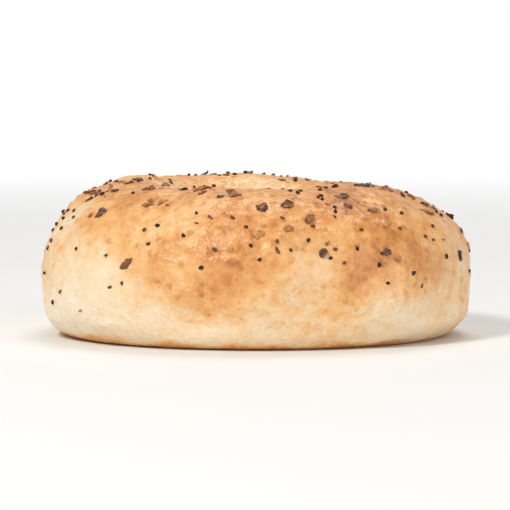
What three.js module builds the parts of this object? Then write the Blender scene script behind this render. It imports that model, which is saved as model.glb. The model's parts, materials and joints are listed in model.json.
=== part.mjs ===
// An onion bagel: one baked ring of bread, with dried onion flakes baked onto its crust.
// Millimetres, +Z up. The origin is on the table, under the middle of the ring.
import * as THREE from "three";

// The ring of bread.
const LENGTH = 102; // across the ring along X
const WIDTH = 99; // across the ring along Y
const HEIGHT = 35.7; // base to crown, before the ring's own unevenness
const HOLE = 19; // the hole at its narrowest
const OUTER_WAIST = 16; // height where the ring is widest
const HOLE_WAIST = 17; // height where the hole is narrowest
const BASE_OUTER = 43.5; // radius where the flat base ends outside
const BASE_INNER = 17; // radius where the flat base ends at the hole
const CROWN = 28.5; // radius of the crown's highest line
const RING_STEPS = 60;
const CORNER_STEPS = 7; // steps along each quarter of the cross-section

// The onion flakes.
const FLAKES = 52;
const FLAKE_LENGTH = [2.6, 7]; // shortest and longest
const FLAKE_ASPECT = [0.38, 0.7]; // width over length
const FLAKE_THICKNESS = 0.5;
const FLAKE_GAP = 0.3; // between a flake and the crust under it
const FLAKE_SPACING = 0.8; // least room between two flakes
const FLAKE_CORNERS = [6, 8];
const TOPPED = [0.06, 0.86]; // share of the way from the outer waist over the crown to the hole
const RAY_REACH = 8; // how far above the crust a flake's corners are dropped from

// The flakes on the front, which faces -Y: where each lies round the ring in degrees, its share of the way
// over the crust, its length and width, and the degrees that it is turned from the way round the ring.
const FRONT_FLAKES = [
  { round: 186, share: 0.34, length: 3.8, width: 2, turned: 70 },
  { round: 218, share: 0.24, length: 4, width: 1.9, turned: 50 },
  { round: 221, share: 0.44, length: 4, width: 1.7, turned: 20 },
  { round: 234, share: 0.05, length: 4.6, width: 1.5, turned: 35 },
  { round: 235, share: 0.34, length: 5.4, width: 2.1, turned: 30 },
  { round: 247, share: 0.46, length: 6.2, width: 1.8, turned: 2 },
  { round: 262, share: 0.39, length: 4.4, width: 2.1, turned: -15 },
  { round: 271, share: 0.17, length: 3.8, width: 1.7, turned: 10 },
  { round: 272, share: 0.29, length: 3.8, width: 2.2, turned: -50 },
  { round: 279, share: 0.2, length: 2.8, width: 1.5, turned: -5 },
  { round: 280, share: 0.31, length: 3.8, width: 1.8, turned: 5 },
  { round: 286, share: 0.25, length: 3.2, width: 1.6, turned: 40 },
  { round: 288, share: 0.11, length: 3, width: 1.7, turned: 60 },
  { round: 303, share: 0.39, length: 3.6, width: 1.8, turned: -20 },
  { round: 306, share: 0.1, length: 3.5, width: 1.5, turned: 8 },
  { round: 308, share: 0.28, length: 3.4, width: 1.6, turned: 0 },
  { round: 335, share: 0.26, length: 4.4, width: 1.7, turned: -45 },
  { round: 338, share: 0.06, length: 3.4, width: 2.4, turned: -60 },
];
const FRONT = { from: 190, to: 350, below: 0.42 }; // where only those flakes lie, in degrees and share

const crustFinish = new THREE.MeshStandardMaterial({ color: 0xdca368, roughness: 0.5, metalness: 0 });
const onionFinish = new THREE.MeshStandardMaterial({ color: 0xa9692f, roughness: 0.6, metalness: 0 });

const outerRadius = LENGTH / 2;
const holeRadius = HOLE / 2;

// A repeatable stream of numbers from 0 to 1.
function makeRandom(seed) {
  let state = seed;
  return () => {
    state = (Math.imul(state, 1664525) + 1013904223) >>> 0;
    return state / 2 ** 32;
  };
}

const between = ([low, high], share) => low + (high - low) * share;

// The ring's cross-section as radius and height, from the base round the outside and over the crown
// into the hole. A fullness of 0.55 makes a quarter ellipse, and more makes a squarer corner.
function sectionPath() {
  const path = new THREE.Path();
  const corner = (toRadius, toHeight, leaves, fullness) => {
    const { x, y } = path.currentPoint;
    const across = (toRadius - x) * fullness;
    const up = (toHeight - y) * fullness;
    if (leaves === "flat") {
      path.bezierCurveTo(x + across, y, toRadius, toHeight - up, toRadius, toHeight);
    } else {
      path.bezierCurveTo(x, y + up, toRadius - across, toHeight, toRadius, toHeight);
    }
  };
  path.moveTo(BASE_INNER, 0);
  path.lineTo(BASE_OUTER, 0);
  corner(outerRadius, OUTER_WAIST, "flat", 0.7);
  corner(CROWN, HEIGHT, "upright", 0.55);
  corner(holeRadius, HOLE_WAIST, "flat", 0.56);
  corner(BASE_INNER, 0, "upright", 0.55);
  return path;
}

// Hand-shaped dough isn't a true ring: it is a little oval, fuller on its -X side, and wavy at the rim
// and the hole. These all leave the flat base flat.
function unevenRing(point) {
  const angle = Math.atan2(point.y, point.x);
  const radius = Math.hypot(point.x, point.y);
  const outwards = THREE.MathUtils.smoothstep(radius, holeRadius, outerRadius);
  const rim = 0.45 * Math.cos(2 * angle + 0.4) + 0.35 * Math.cos(3 * angle + 1.9);
  const hole = 0.55 * Math.cos(2 * angle + 1.2) + 0.4 * Math.cos(3 * angle - 0.6);
  const slope = -0.022 * Math.cos(angle);
  const waves = 0.01 * Math.cos(2 * angle + 0.7) + 0.008 * Math.cos(3 * angle);
  const moved = radius + rim * outwards + hole * (1 - outwards);
  point.x = moved * Math.cos(angle);
  point.y = moved * Math.sin(angle) * (WIDTH / LENGTH);
  point.z *= 1 + slope + waves;
  return point;
}

function breadMesh() {
  const outline = sectionPath().getPoints(CORNER_STEPS);
  const geometry = new THREE.LatheGeometry(outline, RING_STEPS);
  geometry.rotateX(Math.PI / 2); // the lathe turns about Y
  const position = geometry.attributes.position;
  const point = new THREE.Vector3();
  for (let i = 0; i < position.count; i += 1) {
    unevenRing(point.fromBufferAttribute(position, i));
    position.setXYZ(i, point.x, point.y, point.z);
  }
  geometry.computeVertexNormals();
  const mesh = new THREE.Mesh(geometry, crustFinish);
  mesh.name = "bread";
  return mesh;
}

// A point of the topped crust. Share 0 is the outer waist, 0.5 the crown and 1 the hole's waist.
function crustPoint(angle, share) {
  const [, , outside, inside] = sectionPath().curves;
  const flat = share < 0.5 ? outside.getPoint(share * 2) : inside.getPoint(share * 2 - 1);
  return unevenRing(new THREE.Vector3(flat.x * Math.cos(angle), flat.x * Math.sin(angle), flat.y));
}

// A frame on the crust: Z points out of the bread, and X is turned by spin from the way round the ring.
function crustFrame(angle, share, spin) {
  const step = 0.01;
  const round = crustPoint(angle + step, share).sub(crustPoint(angle - step, share)).normalize();
  const across = crustPoint(angle, share + step).sub(crustPoint(angle, share - step)).normalize();
  const out = new THREE.Vector3().crossVectors(round, across).normalize();
  const x = round.applyAxisAngle(out, spin);
  const y = new THREE.Vector3().crossVectors(out, x);
  return new THREE.Matrix4().makeBasis(x, y, out).setPosition(crustPoint(angle, share));
}

// A chip of dried onion, lying in XY: a long, rough polygon with a thickness.
function flakeGeometry({ length, width }, random) {
  const corners = Math.round(between(FLAKE_CORNERS, random()));
  const outline = new THREE.Shape();
  for (let i = 0; i < corners; i += 1) {
    const turn = ((i + 0.5 * random()) / corners) * 2 * Math.PI;
    const reach = 0.8 + 0.2 * random();
    const x = (length / 2) * reach * Math.cos(turn);
    const y = (width / 2) * reach * Math.sin(turn);
    if (i === 0) outline.moveTo(x, y);
    else outline.lineTo(x, y);
  }
  outline.closePath();
  return new THREE.ExtrudeGeometry(outline, { depth: FLAKE_THICKNESS, bevelEnabled: false });
}

// Bends a flake to the crust under it, keeping FLAKE_GAP everywhere.
function drape(geometry, frame, bread) {
  const position = geometry.attributes.position;
  const out = new THREE.Vector3().setFromMatrixColumn(frame, 2);
  const caster = new THREE.Raycaster();
  for (let i = 0; i < position.count; i += 1) {
    const above = new THREE.Vector3(position.getX(i), position.getY(i), RAY_REACH).applyMatrix4(frame);
    caster.set(above, out.clone().negate());
    const [hit] = caster.intersectObject(bread);
    position.setZ(i, position.getZ(i) + RAY_REACH - hit.distance + FLAKE_GAP);
  }
  geometry.computeVertexNormals();
}

// A flake anywhere on the topped crust but the front.
function strayFlake(random) {
  for (;;) {
    const round = random() * 360;
    const share = between(TOPPED, random() ** 0.85);
    if (round > FRONT.from && round < FRONT.to && share < FRONT.below) continue;
    const length = between(FLAKE_LENGTH, random() ** 2);
    const width = length * between(FLAKE_ASPECT, random());
    return { round, share, length, width, turned: random() * 180 };
  }
}

function placed(flake) {
  const { degToRad } = THREE.MathUtils;
  const frame = crustFrame(degToRad(flake.round), flake.share, degToRad(flake.turned));
  return { ...flake, frame, centre: new THREE.Vector3().setFromMatrixPosition(frame) };
}

// The front's flakes, then others over the rest of the top and sides, each clear of the ones before.
function flakeMeshes(bread) {
  const random = makeRandom(11);
  const flakes = FRONT_FLAKES.map(placed);
  while (flakes.length < FLAKES) {
    const flake = placed(strayFlake(random));
    const room = (other) => other.centre.distanceTo(flake.centre) - (other.length + flake.length) / 2;
    if (flakes.every((other) => room(other) > FLAKE_SPACING)) flakes.push(flake);
  }
  return flakes.map((flake, i) => {
    const geometry = flakeGeometry(flake, random);
    drape(geometry, flake.frame, bread);
    const mesh = new THREE.Mesh(geometry, onionFinish);
    mesh.applyMatrix4(flake.frame);
    mesh.name = `onion_flake_${String(i + 1).padStart(2, "0")}`;
    return mesh;
  });
}

const bread = breadMesh();
const baked = new THREE.Group();
baked.add(bread, ...flakeMeshes(bread));
const box = new THREE.Box3().setFromObject(baked);
const middle = box.getCenter(new THREE.Vector3());
baked.position.set(-middle.x, -middle.y, -box.min.z);

const bagel = new THREE.Group();
bagel.add(baked);
export default bagel;
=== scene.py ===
"""The looks of an onion bagel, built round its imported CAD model. Blender 4.5, metres, +Z up.

The crust is one fine mesh that follows the CAD ring of bread. Each CAD onion flake is replaced by a thin,
curled one in the same place. Onion crumbs and poppy seeds, too small for CAD, lie between them.
"""

import json
import math

import bpy
import numpy as np
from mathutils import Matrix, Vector
from mathutils.bvhtree import BVHTree
from mathutils.kdtree import KDTree

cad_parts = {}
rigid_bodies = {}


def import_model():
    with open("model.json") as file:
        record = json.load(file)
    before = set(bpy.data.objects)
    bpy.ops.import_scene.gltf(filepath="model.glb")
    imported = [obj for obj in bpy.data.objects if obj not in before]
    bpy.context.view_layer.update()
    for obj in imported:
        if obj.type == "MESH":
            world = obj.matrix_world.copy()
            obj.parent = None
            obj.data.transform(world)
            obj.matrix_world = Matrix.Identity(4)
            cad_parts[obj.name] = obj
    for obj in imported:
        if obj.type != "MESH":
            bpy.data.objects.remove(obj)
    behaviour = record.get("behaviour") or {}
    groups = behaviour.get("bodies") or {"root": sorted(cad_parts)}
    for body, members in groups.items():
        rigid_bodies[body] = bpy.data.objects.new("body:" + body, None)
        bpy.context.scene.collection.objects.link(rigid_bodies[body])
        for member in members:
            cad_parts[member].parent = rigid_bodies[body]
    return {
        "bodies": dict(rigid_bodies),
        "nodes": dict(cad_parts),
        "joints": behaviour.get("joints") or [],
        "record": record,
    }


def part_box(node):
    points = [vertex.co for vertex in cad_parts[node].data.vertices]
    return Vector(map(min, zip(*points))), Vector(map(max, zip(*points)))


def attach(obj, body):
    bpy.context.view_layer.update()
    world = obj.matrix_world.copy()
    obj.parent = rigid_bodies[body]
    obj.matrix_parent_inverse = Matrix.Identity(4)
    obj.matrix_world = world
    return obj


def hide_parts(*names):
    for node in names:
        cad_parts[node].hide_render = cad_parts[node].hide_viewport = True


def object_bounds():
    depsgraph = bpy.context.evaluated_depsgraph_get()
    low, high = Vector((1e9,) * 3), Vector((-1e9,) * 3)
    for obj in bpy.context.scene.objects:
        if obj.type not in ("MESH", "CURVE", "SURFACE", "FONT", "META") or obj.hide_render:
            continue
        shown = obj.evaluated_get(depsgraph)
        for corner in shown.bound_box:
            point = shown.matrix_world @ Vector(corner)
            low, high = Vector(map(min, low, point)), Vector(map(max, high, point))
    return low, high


MM = 0.001
BODY = "root"

# The crust's grid, round the ring and round its cross-section.
RING_STEPS = 484
SECTION_STEPS = 204
CORE_RADIUS = 0.6  # of the outer radius: the line inside the bread that its surface is measured from
CORE_HEIGHT = 0.46  # of the height
FACET_BLUR = (3.2, 4.5)  # degrees round the ring and the section that smooth away the CAD facets

CREASES = 11  # folds that run down into the hole
BLISTERS = 2200

# Where the front is darker or paler than the rest: the darker patches are toast, and the paler ones are
# painted highlight, glare laid on the crust. x and height in mm, how far the patch reaches along and up in
# mm, and how much darker its middle is.
FRONT_TOAST_AND_GLARE = (
    (-44, 17, 11, 14, -0.17),
    (-26, 22, 8, 8, 0.05),
    (-8, 22, 10, 9, 0.06),
    (11, 24, 8, 6, -0.04),
    (25, 17, 9, 7, 0.18),
    (39, 26, 8, 6, -0.08),
    (44, 6, 9, 7, -0.06),
)

# The flakes, and how burnt each of the front's is, in the order of their nodes.
FRONT_CHAR = (
    0.4, 0.65, 0.55, 0.5, 0.3, 0.3, 0.5, 0.15, 0.65,
    0.3, 0.55, 0.4, 0.7, 0.65, 0.7, 0.45, 0.55, 0.9,
)
FLAKE_RINGS = 8  # rings of points on each of a flake's two sides
FLAKE_SPOKES = 44
FLAKE_DROP = 4 * MM  # how far above the crust a flake's points are dropped from

# Where the front's poppy seeds lie, in mm along X and up from the table.
FRONT_SEEDS = (
    (-47, 9), (-41, 22), (-30, 15), (-25, 27), (-24, 24), (-22, 28), (-16, 26), (-12, 19), (-9, 23), (-5, 30),
    (-2, 28), (-1, 24), (1, 21), (5, 25), (7, 27), (8, 23), (12, 25), (13, 28), (15, 22), (17, 21),
    (18, 23), (20, 20), (23, 23), (24, 27), (30, 15), (33, 27), (36, 17), (39, 25), (41, 27), (41, 24),
)

# Where the front's larger onion crumbs lie, in mm along X and up from the table.
FRONT_CRUMBS = (
    (-45, 12), (-40, 8), (-34, 21), (-10, 30), (-7, 31), (5, 23), (6, 30), (16, 24), (18, 30), (23, 27),
    (30, 28), (38, 14),
)

# The seeds and crumbs that are strewn at random, and the least room between any two small toppings.
STREWN_SEEDS = 165
STREWN_CRUMBS = 125
TRIES = 12  # places drawn for each one strewn
FRONT_SEED_GAP = 0.4 * MM
FRONT_CRUMB_GAP = 0.9 * MM
STREWN_SEED_GAP = 0.9 * MM
STREWN_CRUMB_GAP = 1.0 * MM

# The shape of a seed or crumb, and how it lies on the crust.
GLOBE = (9, 12)  # rings, and points in each ring
SEED_HALF_SIZE = (0.57, 0.42, 0.38)  # mm
LIFT = 0.35  # its middle's height over the crust, as a share of its half thickness
TILT = 0.22  # how unevenly it lies, as a slope
ASIDE = (0.31, 0.95, 0.02)  # the direction that its turning is measured from

# Colours by how browned or burnt a place is, from 0 to 1, as red, green and blue from 0 to 255. The crust's
# level also carries painted shade and painted highlight.
CRUST_COLOURS = (
    (0.0, (238, 220, 193)),
    (0.2, (236, 207, 165)),
    (0.42, (232, 178, 114)),
    (0.62, (213, 143, 75)),
    (0.8, (170, 101, 47)),
    (1.0, (92, 52, 27)),
)
ONION_COLOURS = (
    (0.0, (214, 166, 94)),
    (0.25, (184, 122, 58)),
    (0.5, (138, 81, 37)),
    (0.75, (92, 47, 21)),
    (1.0, (46, 25, 13)),
)
SEED_COLOURS = (
    (0.0, (30, 20, 14)),
    (0.6, (60, 39, 26)),
    (1.0, (112, 73, 43)),
)

# The stage. Each light has its place, its size across, its power in watts and its colour.
FLOOR_COLOUR = (0.86, 0.86, 0.85, 1)
FLOOR_RADIUS = 6.0
FLOOR_FADE = (0.14, 0.95)  # metres from the middle between which the floor fades away
SKY_FADE = (0.05, 0.45)  # how far up the sky starts and ends dimming, where straight up is 1
SKY_OVERHEAD = 0.35  # its strength overhead, where 1 is that at the horizon
LIGHTS = {
    "key": ((-0.5, -0.65, 0.78), 0.25, 7.1, (1.0, 0.97, 0.93)),
    "fill": ((0.8, -0.6, 0.3), 0.6, 1.9, (0.96, 0.98, 1.0)),
    "top": ((0.1, 0.35, 0.9), 0.5, 3.2, (1.0, 0.99, 0.97)),
}
CAMERA_ELEVATION = 4.0  # degrees
LENS = 200.0  # mm
SENSOR = 36.0  # mm
FRAME_FILL = 0.84  # the bagel's share of the picture's width


# ---------------------------------------------------------------- fields and meshes


def smoothstep(low, high, x):
    t = np.clip((x - low) / (high - low), 0, 1)
    return t * t * (3 - 2 * t)


def waves(points, size, seed, count=48):
    """A smooth random field with a mean of 0 and a spread of 1, whose lumps are about size apart."""
    random = np.random.default_rng(seed)
    toward = random.normal(size=(count, 3))
    toward /= np.linalg.norm(toward, axis=1)[:, None]
    pitch = (2 * np.pi / size) * random.uniform(0.6, 1.4, (count, 1))
    phase = random.uniform(0, 2 * np.pi, count)
    return np.cos(points @ (toward * pitch).T + phase).sum(axis=-1) * math.sqrt(2 / count)


def blurred(field, degrees_round, degrees_across):
    """The field with a Gaussian blur. It wraps round both ways."""
    spectrum = np.fft.fft2(field)
    for axis, degrees in enumerate((degrees_round, degrees_across)):
        turns = np.fft.fftfreq(field.shape[axis], 1 / field.shape[axis])
        fade = np.exp(-0.5 * (turns * math.radians(degrees)) ** 2)
        spectrum *= fade[:, None] if axis == 0 else fade[None, :]
    return np.fft.ifft2(spectrum).real


def unit(vectors):
    return vectors / np.linalg.norm(vectors, axis=-1, keepdims=True)


def mesh_object(name, vertices, faces, material):
    """A smooth-shaded mesh object at the origin."""
    mesh = bpy.data.meshes.new(name)
    mesh.from_pydata(vertices.reshape(-1, 3).tolist(), [], faces)
    mesh.shade_smooth()
    mesh.materials.append(material)
    piece = bpy.data.objects.new(name, mesh)
    bpy.context.scene.collection.objects.link(piece)
    return piece


def set_values(piece, name, values):
    attribute = piece.data.attributes.new(name, "FLOAT", "POINT")
    attribute.data.foreach_set("value", values.astype(np.float32).ravel())


def set_vectors(piece, name, vectors):
    attribute = piece.data.attributes.new(name, "FLOAT_VECTOR", "POINT")
    attribute.data.foreach_set("vector", vectors.astype(np.float32).ravel())


def grid_quads(rows, columns, rows_close=False):
    """A grid's quads. Each row closes on itself, and with rows_close the last row also joins the first."""
    bands = rows if rows_close else rows - 1
    i, j = np.meshgrid(np.arange(bands), np.arange(columns), indexing="ij")
    after_i = (i + 1) % rows
    after_j = (j + 1) % columns
    corners = (i * columns + j, after_i * columns + j, after_i * columns + after_j, i * columns + after_j)
    return np.stack(corners, axis=-1).reshape(-1, 4)


# ---------------------------------------------------------------- the crust's shape


def core_points(angles):
    """Points at these angles on the line inside the bread that its surface is measured from."""
    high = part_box("bread")[1]
    flat = np.stack([np.cos(angles), np.sin(angles), np.zeros_like(angles)], axis=-1)
    return flat * (CORE_RADIUS * high.x) + np.array([0, 0, CORE_HEIGHT * high.z])


def crust_grid(cad):
    """Points on a smooth copy of the CAD ring, and their angles round the ring and the section."""
    tree = BVHTree.FromPolygons([v.co for v in cad.data.vertices], [p.vertices for p in cad.data.polygons])
    ring = np.arange(RING_STEPS) * 2 * np.pi / RING_STEPS
    section = np.arange(SECTION_STEPS) * 2 * np.pi / SECTION_STEPS - np.pi / 2
    angle, turn = np.meshgrid(ring, section, indexing="ij")
    core = core_points(angle)
    toward = np.stack([np.cos(turn) * np.cos(angle), np.cos(turn) * np.sin(angle), np.sin(turn)], axis=-1)
    rays = zip(core.reshape(-1, 3), toward.reshape(-1, 3))
    reach = np.array([tree.ray_cast(Vector(start), Vector(way))[3] for start, way in rays])
    reach = blurred(reach.reshape(angle.shape), *FACET_BLUR)
    return core + toward * reach[..., None], angle, turn


def area_vectors(points):
    """For each point of the grid, a vector out of the surface, as long as the point's share of its area."""
    along = np.roll(points, -1, axis=0) - np.roll(points, 1, axis=0)
    across = np.roll(points, -1, axis=1) - np.roll(points, 1, axis=1)
    return np.cross(along, across) / 4


def hole_creases(points, angle, turn):
    """Soft creases that run down into the hole, where the dough was gathered."""
    random = np.random.default_rng(21)
    inward = smoothstep(0.1, 0.9, -np.cos(turn))
    total = np.zeros_like(angle)
    for _ in range(CREASES):
        centre = random.uniform(0, 2 * np.pi) + 0.12 * waves(points, 18 * MM, random.integers(1000))
        width = random.uniform(0.1, 0.28)
        apart = (angle - centre + np.pi) % (2 * np.pi) - np.pi
        total += random.uniform(0.15, 0.6) * np.exp(-((apart / width) ** 2))
    return -total * inward * smoothstep(0.0, 0.5, 1 + np.sin(turn))


def blisters(points, weight):
    """Low blisters of boiled dough, as a height in mm over the crust."""
    random = np.random.default_rng(5)
    flat = points.reshape(-1, 3)
    tree = KDTree(len(flat))
    for i, point in enumerate(flat):
        tree.insert(point, i)
    tree.balance()
    height = np.zeros(len(flat))
    chance = weight.ravel() / weight.sum()
    for i in random.choice(len(flat), BLISTERS, replace=False, p=chance):
        radius = random.uniform(0.8, 1.9) * MM
        tall = random.uniform(0.07, 0.17) * radius / MM
        for _, j, distance in tree.find_range(flat[i], radius):
            height[j] = max(height[j], tall * (1 - (distance / radius) ** 2) ** 2)
    return height.reshape(weight.shape)


def crust_relief(points, angle, turn):
    """How far the crust stands out from the smooth ring, in mm, and the part of it that blisters make."""
    z = points[..., 2]
    off_base = smoothstep(0.8 * MM, 6 * MM, z)
    lumps = 0.55 * waves(points, 44 * MM, 1) + 0.24 * waves(points, 17 * MM, 2)
    lumps += 0.09 * waves(points, 7 * MM, 3)
    skin = 0.045 * waves(points, 3.1 * MM, 4)
    blister = blisters(points, 0.15 + off_base * (0.4 + smoothstep(0, 30 * MM, z)))
    return off_base * (lumps + skin + hole_creases(points, angle, turn) + blister), blister


def front_toast_and_glare(points):
    """How much darker than the rest the front's patches are: toast where darker, painted highlight where
    paler.
    """
    x, y, z = np.moveaxis(points / MM, -1, 0)
    x = x + 2 * waves(points, 14 * MM, 37)
    z = z + 2 * waves(points, 14 * MM, 38)
    total = sum(
        amount * np.exp(-(((x - middle) / along) ** 2) - ((z - height) / up) ** 2)
        for middle, height, along, up, amount in FRONT_TOAST_AND_GLARE
    )
    return total * smoothstep(0, -20, y)


def toast_and_painted_light(points, angle, blister):
    """How browned the crust looks, from pale, 0, to dark brown, 1, with painted shade and painted highlight
    in it, and how far the oven's floor browned it.
    """
    z = points[..., 2]
    radius = np.hypot(points[..., 0], points[..., 1])
    # Pale at the foot, golden from about 2 cm up, and a little deeper on the crown.
    level = 0.14 + 0.32 * smoothstep(3 * MM, 21 * MM, z + 1.8 * MM * waves(points, 20 * MM, 31))
    level += 0.07 * smoothstep(24 * MM, 36 * MM, z)
    # A little deeper on one side, +X: partly uneven baking and partly painted shade on the side away from the
    # key light. The front's patches add toast, and painted highlight where they are paler.
    level += 0.07 * np.cos(angle + 0.2) + front_toast_and_glare(points)
    # Blotches of three sizes, and blisters, which brown first.
    level += 0.06 * waves(points, 26 * MM, 32) + 0.03 * waves(points, 9 * MM, 33)
    level += 0.026 * waves(points, 3.6 * MM, 34)
    level += 0.45 * blister
    # The hole stays pale.
    level -= 0.22 * smoothstep(26 * MM, 12 * MM, radius) * smoothstep(1 * MM, 8 * MM, z)
    # The base is browned by the oven's floor.
    hearth = smoothstep(2.4 * MM, 0.2 * MM, z + 0.4 * MM * waves(points, 11 * MM, 35))
    browned = 0.6 + 0.04 * waves(points, 30 * MM, 36) + 0.03 * waves(points, 8 * MM, 39)
    level = level * (1 - hearth) + hearth * browned
    return np.clip(level, 0, 1), hearth


def ring_map(piece, rows, columns):
    """A UV map that unrolls the ring as two strips, cut under its base."""
    i, j = np.divmod(np.arange(rows * columns)[:, None], columns)
    row, column = i + np.array([0, 1, 1, 0]), j + np.array([0, 0, 1, 1])
    strip = i // (rows // 2)
    u = row / (rows // 2) - strip
    v = (strip + 0.01 + 0.98 * column / columns) / 2
    uv = np.stack([u, v], axis=-1)
    piece.data.uv_layers.new(name="OFBake").data.foreach_set("uv", uv.astype(np.float32).ravel())


def base_pits(points):
    """How far shallow pits lift the base, in patches, where the dough lay on the oven's floor."""
    patches = waves(points, 9 * MM, 42) > 0.2
    pits = 0.16 * np.abs(waves(points, 2.6 * MM, 41)) * patches * MM
    return pits * smoothstep(1 * MM, 0, points[..., 2])


def make_crust(cad):
    """The crust's mesh. Its grid of points is returned."""
    points, angle, turn = crust_grid(cad)
    relief, blister = crust_relief(points, angle, turn)
    points = points + unit(area_vectors(points)) * relief[..., None] * MM
    points[..., 2] = np.maximum(points[..., 2], base_pits(points))
    level, hearth = toast_and_painted_light(points, angle, blister)
    faces = grid_quads(RING_STEPS, SECTION_STEPS, rows_close=True).tolist()
    crust = mesh_object("crust", points, faces, crust_material())
    set_values(crust, "toast_and_painted_light", level)
    set_values(crust, "hearth", hearth)
    ring_map(crust, RING_STEPS, SECTION_STEPS)
    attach(crust, BODY)
    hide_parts(cad.name)
    return points


# ---------------------------------------------------------------- toppings


def flake_axes(corners):
    """A CAD flake's centre, and its directions along, across and out of the bread."""
    centre = corners.mean(axis=0)
    along, _, out = np.linalg.svd(corners - centre)[2]
    core = core_points(math.atan2(centre[1], centre[0]))
    if out @ (centre - core) < 0:
        out = -out
    return centre, along, np.cross(out, along), out


def flake_outline(corners, axes, spokes, random):
    """How far a flake reaches along each spoke: as far as the CAD flake does, with a rougher edge."""
    centre, along, across, _ = axes
    x, y = (corners - centre) @ along, (corners - centre) @ across
    bearing, reach = np.arctan2(y, x), np.hypot(x, y)
    order = np.argsort(bearing)
    outline = np.interp(spokes, bearing[order], reach[order], period=2 * np.pi)
    scallops = 0.05 * np.cos(5 * spokes + random.uniform(0, 6))
    return outline * (1 + scallops + 0.035 * random.normal(size=len(spokes)))


def flake_shape(corners, axes, seed):
    """A flake's points: x and y in its own frame, height over the crust, and share of the way to the rim.

    The top's rings come first, from the middle out, and then the underside's, from the rim in.
    """
    random = np.random.default_rng(seed)
    spokes = np.arange(FLAKE_SPOKES) * 2 * np.pi / FLAKE_SPOKES
    outline = flake_outline(corners, axes, spokes, random)
    outwards = np.linspace(0.02, 1, FLAKE_RINGS)
    share = np.concatenate([outwards, np.linspace(1, 0.02, FLAKE_RINGS)])[:, None]
    side = np.concatenate([np.ones(FLAKE_RINGS), -np.ones(FLAKE_RINGS)])[:, None]
    x, y = share * outline * np.cos(spokes), share * outline * np.sin(spokes)
    thickness = random.uniform(0.3, 0.5) * MM * np.sqrt(1 - np.clip(share, 0, 0.995) ** 5)
    sheet = np.stack([x, y, np.zeros_like(x)], axis=-1)
    crinkle = 0.13 * MM * waves(sheet, 2.4 * MM, seed) + 0.05 * MM * waves(sheet, 1.0 * MM, seed + 1)
    curl = random.uniform(0.2, 1.1) * MM * np.maximum(0, np.cos(spokes - random.uniform(0, 6.3))) ** 1.5
    droop = random.uniform(0.05, 0.35) * MM
    trough = random.uniform(-0.1, 0.5) * MM * (y / np.abs(y).max()) ** 2
    height = 0.22 * MM + crinkle + trough + share**2.2 * (curl - droop) + side * thickness / 2
    return x, y, height, np.broadcast_to(share, x.shape)


def make_flake(cad, tree, material, seed):
    """A thin, curled flake in a CAD flake's place, dropped onto the crust. Its top's points are returned."""
    corners = np.unique(np.round([v.co[:] for v in cad.data.vertices], 7), axis=0)
    axes = flake_axes(corners)
    centre, along, across, out = axes
    x, y, height, share = flake_shape(corners, axes, seed)
    above = centre + x[..., None] * along + y[..., None] * across + FLAKE_DROP * out
    points = np.empty_like(above)
    for index in np.ndindex(x.shape):
        hit = tree.ray_cast(Vector(above[index]), Vector(-out))[0]
        points[index] = np.array(hit) + out * height[index]
    faces = grid_quads(2 * FLAKE_RINGS, FLAKE_SPOKES).tolist()
    flake = mesh_object(f"{cad.name}_baked", points, faces, material)
    random = np.random.default_rng(seed + 500)
    char = FRONT_CHAR[seed] if seed < len(FRONT_CHAR) else random.beta(1.3, 1.4)
    char = char + 0.3 * share**3 * random.uniform(0.2, 1) + 0.09 * waves(points, 1.8 * MM, seed + 7)
    set_values(flake, "char", np.clip(char, 0, 1))
    set_vectors(flake, "grain", np.stack([x, y, np.full_like(x, seed * MM)], axis=-1))
    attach(flake, BODY)
    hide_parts(cad.name)
    return points[:FLAKE_RINGS].reshape(-1, 3)


def front_places(tree, spots):
    """Where spots on the front lie: the first crust that each meets on its way from a metre in front."""
    backwards = Vector((0, 1, 0))
    hits = [tree.ray_cast(Vector((x * MM, -1, z * MM)), backwards) for x, z in spots]
    return [(np.array(place), np.array(out)) for place, out, _, _ in hits]


def topping_chance(points, normals, seed):
    """How likely a strewn topping is to lie at each point of the crust. Few lie on the front's face."""
    y, z = points[..., 1], points[..., 2]
    radius = np.hypot(points[..., 0], points[..., 1])
    chance = 0.05 + 0.4 * smoothstep(12 * MM, 25 * MM, z) + 0.55 * smoothstep(24 * MM, 35 * MM, z)
    chance *= np.exp(0.85 * waves(points, 15 * MM, seed))
    chance *= smoothstep(5 * MM, 9 * MM, z) * smoothstep(9 * MM, 18 * MM, radius)
    chance *= 1 - 0.5 * smoothstep(-8 * MM, -24 * MM, y)
    return chance * (1 - 0.7 * smoothstep(0.3, 0.6, -normals[..., 1]) * smoothstep(34 * MM, 29 * MM, z))


def strewn_places(points, seed, count):
    """Places on the crust drawn at random, each with its direction out of the crust."""
    random = np.random.default_rng(seed)
    areas = area_vectors(points)
    normals = unit(areas)
    chance = (topping_chance(points, normals, seed + 1) * np.linalg.norm(areas, axis=-1)).ravel()
    flat, ways = points.reshape(-1, 3), normals.reshape(-1, 3)
    chosen = random.choice(len(flat), count, replace=False, p=chance / chance.sum())
    return [(flat[i], ways[i]) for i in chosen]


def keep_clear(candidates, count, taken, gap):
    """The first candidates that are clear of what is taken and of each other, and then all that is taken."""
    kept = []
    for place, out in candidates:
        if len(kept) < count and np.linalg.norm(taken - place, axis=1).min() > gap:
            taken = np.vstack([taken, place])
            kept.append((place, out))
    return kept, taken


def turned_frame(out, angle):
    """Rows along, across and out, with out given and along turned by the angle."""
    aside = unit(np.cross(out, ASIDE))
    ahead = np.cross(out, aside)
    along = math.cos(angle) * aside + math.sin(angle) * ahead
    return np.stack([along, np.cross(out, along), out])


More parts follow.
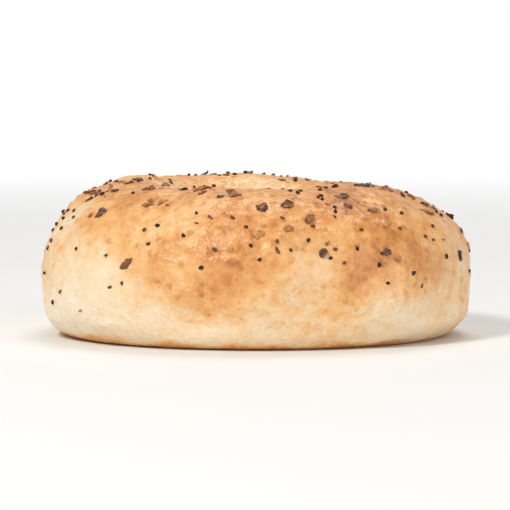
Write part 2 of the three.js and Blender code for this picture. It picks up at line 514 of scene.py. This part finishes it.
def globe():
    """The unit sphere's points, ring by ring, with its poles left as very small rings."""
    rows, columns = GLOBE
    tilt = np.linspace(0.06, math.pi - 0.06, rows)[:, None]
    spin = (np.arange(columns) * 2 * np.pi / columns)[None, :]
    sphere = (np.cos(tilt) + 0 * spin, np.sin(tilt) * np.cos(spin), np.sin(tilt) * np.sin(spin))
    return np.stack(sphere, axis=-1).reshape(-1, 3)


def globe_faces():
    """The quads between a globe's rings, and the two caps that close its ends."""
    rows, columns = GLOBE
    first_cap = list(range(columns))[::-1]
    last_cap = list(range((rows - 1) * columns, rows * columns))
    return grid_quads(rows, columns).tolist() + [first_cap, last_cap]


def seed_shape(random):
    """A poppy seed: a small kidney."""
    x, y, z = (globe() * np.array(SEED_HALF_SIZE) * random.uniform(0.85, 1.12)).T
    y = y + 0.42 * x**2 - 0.1
    return np.stack([x, y, z], axis=-1) * MM


def crumb_shape(random):
    """A crumb of onion: a rough, flattened chip."""
    size = random.uniform(0.35, 1.0) * np.array([1, random.uniform(0.35, 0.8), random.uniform(0.2, 0.4)])
    sphere = globe()
    boxy = np.sign(sphere) * np.abs(sphere) ** 0.7
    rough = 1 + 0.24 * waves(sphere, 1.1, random.integers(10000))
    return boxy * rough[:, None] * size * MM


def scattered(name, places, shape_of, material, seed):
    """One mesh of many small pieces: shape_of(random) gives each its points, in metres."""
    random = np.random.default_rng(seed)
    vertices, faces, tints, grains = [], [], [], []
    for n, (place, out) in enumerate(places):
        shape = shape_of(random)
        tilted = unit(out + TILT * random.normal(size=3))
        frame = turned_frame(tilted, random.uniform(0, 2 * np.pi))
        vertices.append(place + shape @ frame + out * (shape[:, 2].max() * LIFT))
        faces += [[corner + n * len(shape) for corner in face] for face in globe_faces()]
        tints.append(np.full(len(shape), random.beta(2, 2)))
        grains.append(shape + np.array([0, 0, n * 10 * MM]))
    piece = mesh_object(name, np.concatenate(vertices), faces, material)
    set_values(piece, "char", np.concatenate(tints))
    set_vectors(piece, "grain", np.concatenate(grains))
    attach(piece, BODY)
    return piece


def make_toppings(points, nodes):
    """The flakes, crumbs and seeds. Each crumb and seed is clear of what was placed before it."""
    faces = grid_quads(RING_STEPS, SECTION_STEPS, rows_close=True).tolist()
    tree = BVHTree.FromPolygons(points.reshape(-1, 3).tolist(), faces)
    onion = onion_material()
    names = sorted(name for name in nodes if name.startswith("onion_flake"))
    taken = np.concatenate([make_flake(nodes[name], tree, onion, i) for i, name in enumerate(names)])
    places = front_places(tree, FRONT_SEEDS)
    front_seeds, taken = keep_clear(places, len(places), taken, FRONT_SEED_GAP)
    places = front_places(tree, FRONT_CRUMBS)
    front_crumbs, taken = keep_clear(places, len(places), taken, FRONT_CRUMB_GAP)
    places = strewn_places(points, 61, TRIES * STREWN_CRUMBS)
    strewn_crumbs, taken = keep_clear(places, STREWN_CRUMBS, taken, STREWN_CRUMB_GAP)
    places = strewn_places(points, 71, TRIES * STREWN_SEEDS)
    strewn_seeds, _ = keep_clear(places, STREWN_SEEDS, taken, STREWN_SEED_GAP)
    crumbs = scattered("onion_crumbs", front_crumbs + strewn_crumbs, crumb_shape, onion, 63)
    scattered("poppy_seeds", front_seeds + strewn_seeds, seed_shape, seed_material(), 73)


# ---------------------------------------------------------------- materials


class Shader:
    """A node material with a Principled shader, and short ways to add nodes."""

    def __init__(self, name, inputs):
        self.material = bpy.data.materials.new(name)
        self.material.use_nodes = True
        self.nodes = self.material.node_tree.nodes
        self.links = self.material.node_tree.links
        self.principled = self.nodes["Principled BSDF"]
        for socket, value in inputs.items():
            self.principled.inputs[socket].default_value = value

    def link(self, source, target):
        self.links.new(source, target)

    def add(self, kind, inputs=(), **settings):
        """A new node. An input that is given a socket is linked to it, and any other is set."""
        node = self.nodes.new(kind)
        for key, value in settings.items():
            setattr(node, key, value)
        for key, value in dict(inputs).items():
            if isinstance(value, bpy.types.NodeSocket):
                self.link(value, node.inputs[key])
            else:
                node.inputs[key].default_value = value
        return node

    def attribute(self, name, output="Fac"):
        return self.add("ShaderNodeAttribute", attribute_name=name).outputs[output]

    def place(self):
        return self.add("ShaderNodeTexCoord").outputs["Object"]

    def noise(self, vector, scale, detail=2.0, roughness=0.5):
        inputs = {"Vector": vector, "Scale": scale, "Detail": detail, "Roughness": roughness}
        return self.add("ShaderNodeTexNoise", inputs).outputs["Fac"]

    def cells(self, vector, scale, feature="F1"):
        inputs = {"Vector": vector, "Scale": scale}
        return self.add("ShaderNodeTexVoronoi", inputs, feature=feature).outputs["Distance"]

    def math(self, operation, a, b=0.0, c=0.0):
        return self.add("ShaderNodeMath", {0: a, 1: b, 2: c}, operation=operation).outputs[0]

    def span(self, value, low, high, to_low=0.0, to_high=1.0):
        """The value's place between low and high, as a number from to_low to to_high."""
        inputs = {"Value": value, "From Min": low, "From Max": high, "To Min": to_low, "To Max": to_high}
        return self.add("ShaderNodeMapRange", inputs).outputs["Result"]

    def ramp(self, value, stops):
        node = self.add("ShaderNodeValToRGB", {"Fac": value})
        elements = node.color_ramp.elements
        while len(elements) < len(stops):
            elements.new(0.5)
        for element, (position, colour) in zip(elements, stops):
            element.position = position
            element.color = (*(srgb(c) for c in colour), 1)
        return node.outputs["Color"]

    def multiplied(self, a, b):
        inputs = {0: 1.0, 6: a, 7: b}  # factor and the two colours
        return self.add("ShaderNodeMix", inputs, data_type="RGBA", blend_type="MULTIPLY").outputs[2]

    def bump(self, height, depth, strength=1.0, normal=None):
        inputs = {"Height": height, "Distance": depth, "Strength": strength}
        if normal is not None:
            inputs["Normal"] = normal
        return self.add("ShaderNodeBump", inputs).outputs["Normal"]

    def use(self, socket, output):
        self.link(output, self.principled.inputs[socket])


def srgb(value):
    """A channel from 0 to 255 as linear light."""
    c = value / 255
    return c / 12.92 if c <= 0.04045 else ((c + 0.055) / 1.055) ** 2.4


def crust_material():
    """Baked dough: its colour follows toast_and_painted_light and has dots of painted shade for pores, and it
    is blistered and a little glossy.
    """
    looks = {
        "Subsurface Weight": 0.1,
        "Subsurface Radius": (1.0, 0.45, 0.2),
        "Subsurface Scale": 1.0 * MM,
        "Coat Weight": 0.06,
        "Coat Roughness": 0.3,
    }
    s = Shader("crust", looks)
    place = s.place()
    wobble = s.add("ShaderNodeTexNoise", {"Vector": place, "Scale": 700}).outputs["Color"]
    shift = {0: wobble, 1: (0.7 * MM, 0.7 * MM, 0.7 * MM), 2: place}
    warped = s.add("ShaderNodeVectorMath", shift, operation="MULTIPLY_ADD").outputs[0]
    cell = s.add("ShaderNodeTexVoronoi", {"Vector": warped, "Scale": 430})
    odds = s.add("ShaderNodeSeparateColor", {"Color": cell.outputs["Color"]}).outputs["Red"]
    # The crust's browning, with the painted shade and painted highlight that it carries.
    toast_and_light = s.attribute("toast_and_painted_light")
    bubble = s.math("MULTIPLY", s.span(cell.outputs["Distance"], 0.42, 0.12), s.span(odds, 0.35, 0.9))
    bubble = s.math("MULTIPLY", bubble, s.span(toast_and_light, 0.14, 0.42, 0.2, 1.0))
    mottle = s.span(s.noise(warped, 520, 5, 0.65), 0.3, 0.7, -0.09, 0.09)
    freckle = s.span(s.noise(place, 1900, 3, 0.6), 0.35, 0.65, -0.03, 0.03)
    level = s.math("ADD", s.math("ADD", toast_and_light, mottle), freckle)
    level = s.math("MULTIPLY_ADD", bubble, 0.13, level)
    # Small dark dots for pores: painted shade, with no pits under them.
    pore_shade = s.span(s.cells(place, 780), 0.05, 0.22, 0.82, 1.0)
    s.use("Base Color", s.multiplied(s.ramp(level, CRUST_COLOURS), pore_shade))
    rough = s.span(s.noise(place, 300, 3, 0.6), 0.3, 0.7, 0.3, 0.46)
    s.use("Roughness", s.math("MAXIMUM", rough, s.math("MULTIPLY", s.attribute("hearth"), 0.82)))
    skin = s.bump(s.noise(warped, 340, 4, 0.45), 0.7 * MM, 0.85)
    blistered = s.bump(bubble, 0.36 * MM, 1.0, skin)
    pimples = s.bump(s.cells(warped, 1100, "SMOOTH_F1"), 0.25 * MM, 0.8, blistered)
    grit = s.bump(s.noise(place, 2400, 2, 0.6), 0.08 * MM, 0.6, pimples)
    s.use("Normal", grit)
    return s.material


def onion_material():
    """Baked onion, ribbed along its length and burnt as far as char says."""
    looks = {
        "Subsurface Weight": 0.2,
        "Subsurface Radius": (1.0, 0.5, 0.2),
        "Subsurface Scale": 0.6 * MM,
        "Coat Weight": 0.1,
        "Coat Roughness": 0.25,
    }
    s = Shader("baked_onion", looks)
    grain = s.attribute("grain", "Vector")
    stretched = s.add("ShaderNodeMapping", {"Vector": grain, "Scale": (0.22, 1.0, 1.0)}).outputs["Vector"]
    ribs = s.noise(stretched, 2600, 2, 0.5)
    blotch = s.noise(grain, 900, 3, 0.6)
    level = s.math("ADD", s.attribute("char"), s.span(ribs, 0.3, 0.7, -0.1, 0.1))
    level = s.math("ADD", level, s.span(blotch, 0.3, 0.7, -0.16, 0.16))
    s.use("Base Color", s.ramp(level, ONION_COLOURS))
    s.use("Roughness", s.span(blotch, 0.3, 0.7, 0.34, 0.6))
    ribbed = s.bump(ribs, 0.16 * MM, 0.8)
    s.use("Normal", s.bump(blotch, 0.3 * MM, 0.7, ribbed))
    return s.material


def seed_material():
    """Poppy seed, with the fine net of ridges that it has."""
    s = Shader("poppy_seed", {"Specular IOR Level": 0.3})
    grain = s.attribute("grain", "Vector")
    netting = s.cells(grain, 5200)
    # Darker in the pits between the ridges: painted shade.
    level = s.math("ADD", s.attribute("char"), s.span(netting, 0.0, 0.6, -0.25, 0.25))
    s.use("Base Color", s.ramp(level, SEED_COLOURS))
    s.use("Roughness", s.span(netting, 0.0, 0.6, 0.48, 0.7))
    s.use("Normal", s.bump(netting, 0.05 * MM, 0.8))
    return s.material


# ---------------------------------------------------------------- stage


def make_floor():
    """A pale floor that fades away round the bagel."""
    bpy.ops.mesh.primitive_circle_add(vertices=96, radius=FLOOR_RADIUS, fill_type="TRIFAN")
    floor = bpy.context.object
    floor.name = "floor"
    s = Shader("floor", {"Base Color": FLOOR_COLOUR, "Roughness": 0.7})
    floor.data.materials.append(s.material)
    distance = s.add("ShaderNodeVectorMath", {0: s.place()}, operation="LENGTH").outputs["Value"]
    start, end = FLOOR_FADE
    fade = {"Value": distance, "From Min": start, "From Max": end, "To Min": 1.0, "To Max": 0.0}
    near = s.add("ShaderNodeMapRange", fade, interpolation_type="SMOOTHSTEP").outputs["Result"]
    clear = s.add("ShaderNodeBsdfTransparent")
    blend = s.add("ShaderNodeMixShader", {0: near, 1: clear.outputs[0], 2: s.principled.outputs[0]})
    s.link(blend.outputs[0], s.nodes["Material Output"].inputs["Surface"])


def make_light(name, aim, place, size, watts, colour):
    data = bpy.data.lights.new(name, "AREA")
    data.shape = "DISK"
    data.size = size
    data.energy = watts
    data.color = colour
    light = bpy.data.objects.new(name, data)
    light.location = place
    light.rotation_euler = (aim - Vector(place)).to_track_quat("-Z", "Y").to_euler()
    bpy.context.scene.collection.objects.link(light)


def make_camera(low, high):
    centre = (low + high) / 2
    width = high.x - low.x
    distance = width / FRAME_FILL * LENS / SENSOR
    tilt = math.radians(CAMERA_ELEVATION)
    back = Vector((0, -math.cos(tilt), math.sin(tilt)))
    data = bpy.data.cameras.new("camera")
    data.lens = LENS
    data.sensor_width = SENSOR
    data.clip_start = 0.01
    data.clip_end = 50
    camera = bpy.data.objects.new("camera", data)
    camera.location = centre + back * distance
    camera.rotation_euler = (-back).to_track_quat("-Z", "Y").to_euler()
    bpy.context.scene.collection.objects.link(camera)
    bpy.context.scene.camera = camera


def make_world():
    """White at the horizon and below it, and dimmer overhead, as in a white studio."""
    world = bpy.data.worlds.new("world")
    bpy.context.scene.world = world
    world.use_nodes = True
    nodes, links = world.node_tree.nodes, world.node_tree.links
    direction = nodes.new("ShaderNodeTexCoord")
    parts = nodes.new("ShaderNodeSeparateXYZ")
    shade = nodes.new("ShaderNodeMapRange")
    shade.interpolation_type = "SMOOTHSTEP"
    start, end = SKY_FADE
    for key, value in {"From Min": start, "From Max": end, "To Min": 1.0, "To Max": SKY_OVERHEAD}.items():
        shade.inputs[key].default_value = value
    links.new(direction.outputs["Generated"], parts.inputs[0])
    links.new(parts.outputs["Z"], shade.inputs["Value"])
    links.new(shade.outputs["Result"], nodes["Background"].inputs["Strength"])
    nodes["Background"].inputs["Color"].default_value = (1, 1, 1, 1)


def make_stage(low, high):
    make_floor()
    make_world()
    bpy.context.scene.view_settings.view_transform = "Standard"
    for name, settings in LIGHTS.items():
        make_light(name, (low + high) / 2, *settings)
    make_camera(low, high)


# ---------------------------------------------------------------- the bagel


def main():
    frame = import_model()
    low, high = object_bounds()
    nodes = frame["nodes"]
    points = make_crust(nodes["bread"])
    make_toppings(points, nodes)
    make_stage(low, high)


main()
